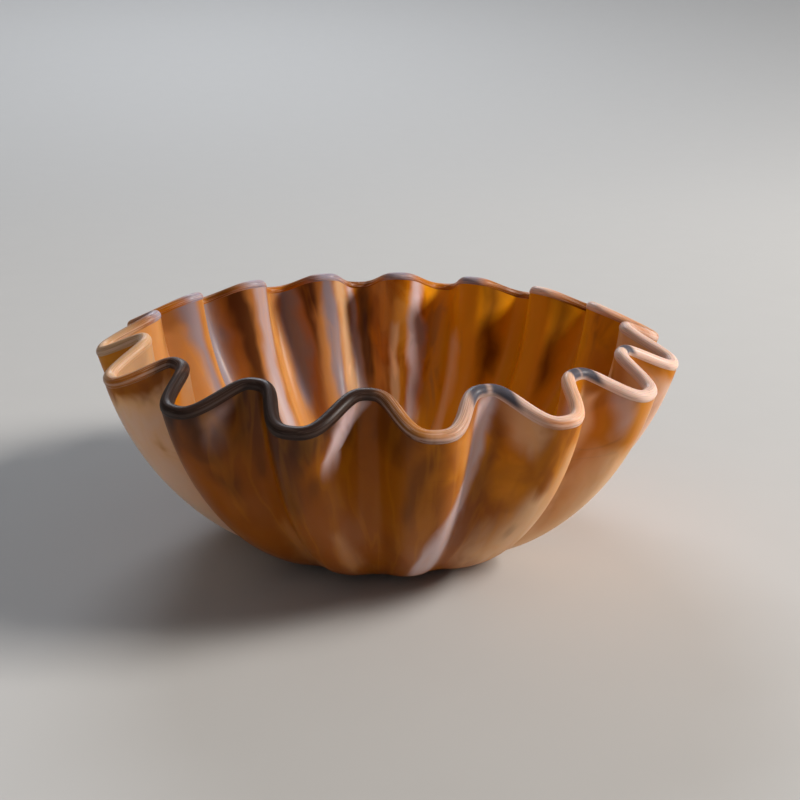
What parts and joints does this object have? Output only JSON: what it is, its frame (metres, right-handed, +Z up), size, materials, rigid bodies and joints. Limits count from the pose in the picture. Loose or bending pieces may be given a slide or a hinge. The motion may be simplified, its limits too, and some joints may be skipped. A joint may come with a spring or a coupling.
{
  "type": "fluted art glass bowl",
  "caption": "Round fluted bowl in marbled glass, with a waved, rounded lip and a flat ground foot, for fruit, sweets or display.",
  "frame": {"origin": "middle of the ground face that the bowl rests on", "axes": "+Z up, out of the bowl's mouth; -Y towards the front"},
  "size_m": [0.2192, 0.2192, 0.0891],
  "materials": {
    "casing_glass": "satin, marbled amber with cream, lilac and brown streaks",
    "lining_glass": "satin, marbled cream, peach, lilac and amber",
    "lip_glass": "fire-polished, dark brown to rose-white",
    "foot_glass": "ground, with a polished hollow"
  },
  "bodies": {
    "root": {"outer_casing": "casing_glass", "inner_lining": "lining_glass", "lip_wrap": "lip_glass", "ground_foot": "foot_glass"}
  },
  "joints": []
}
